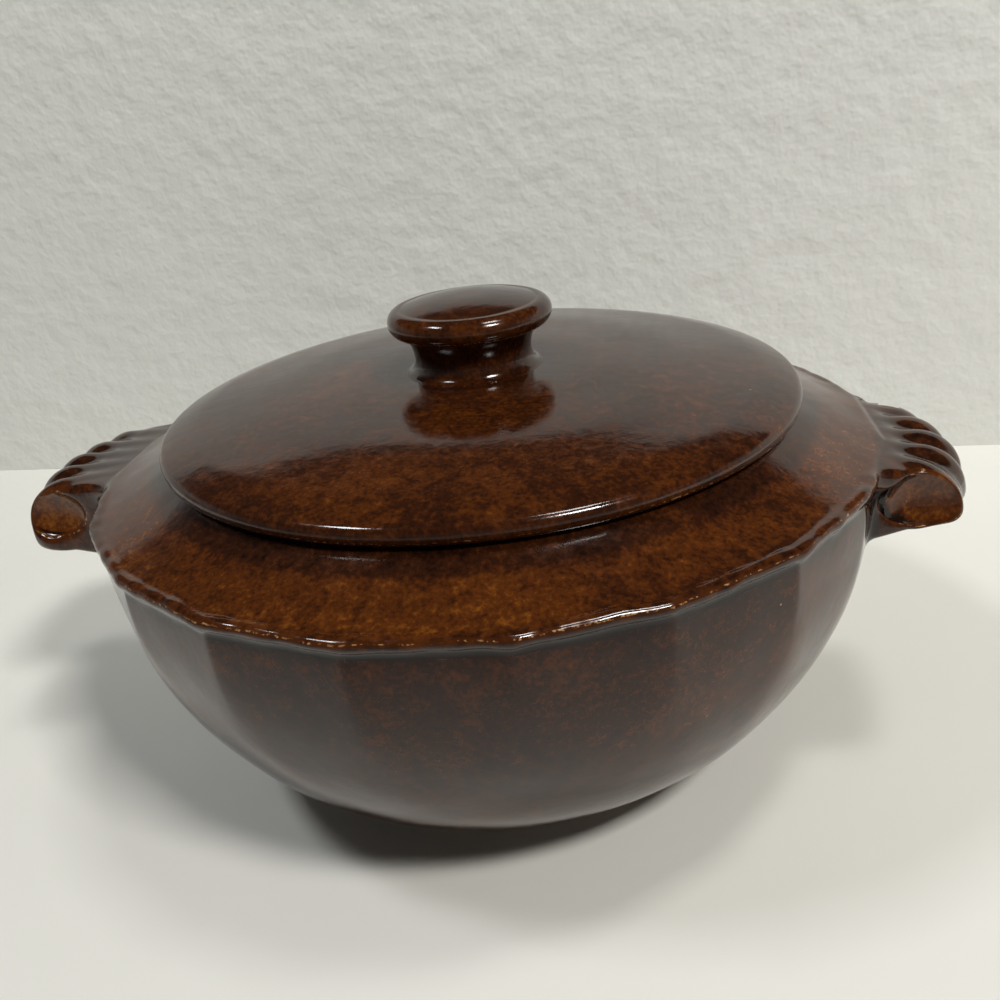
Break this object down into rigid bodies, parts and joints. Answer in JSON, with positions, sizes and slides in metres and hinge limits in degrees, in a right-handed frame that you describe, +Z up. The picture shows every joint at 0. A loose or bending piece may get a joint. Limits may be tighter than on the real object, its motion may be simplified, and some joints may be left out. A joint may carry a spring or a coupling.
{
  "type": "lidded bean pot",
  "caption": "Round stoneware bean pot with panelled wall, beaded ridge, fluted lug handles and a lift-off domed lid with a flat knob.",
  "frame": {"origin": "centre of the foot's flat underside, on the surface that the pot stands on", "axes": "+Z up along the pot's axis, +X along the two lugs, -Y towards the viewer in the picture"},
  "size_m": [0.2958, 0.2374, 0.1452],
  "materials": {
    "brown_glaze": "glossy mottled dark brown glaze",
    "bare_stoneware": "matt, unglazed"
  },
  "bodies": {
    "pot": {"bowl": "brown_glaze", "shoulder": "brown_glaze", "foot": "bare_stoneware", "lug_left": "brown_glaze", "lug_right": "brown_glaze"},
    "lid": {"lid_dome": "brown_glaze", "lid_flange": "bare_stoneware", "lid_knob": "brown_glaze"}
  },
  "joints": [
    {"name": "lid_lift", "type": "slide", "parent": "pot", "child": "lid", "axis": [0, 0, 1], "range_m": [0, 0.11]}
  ]
}
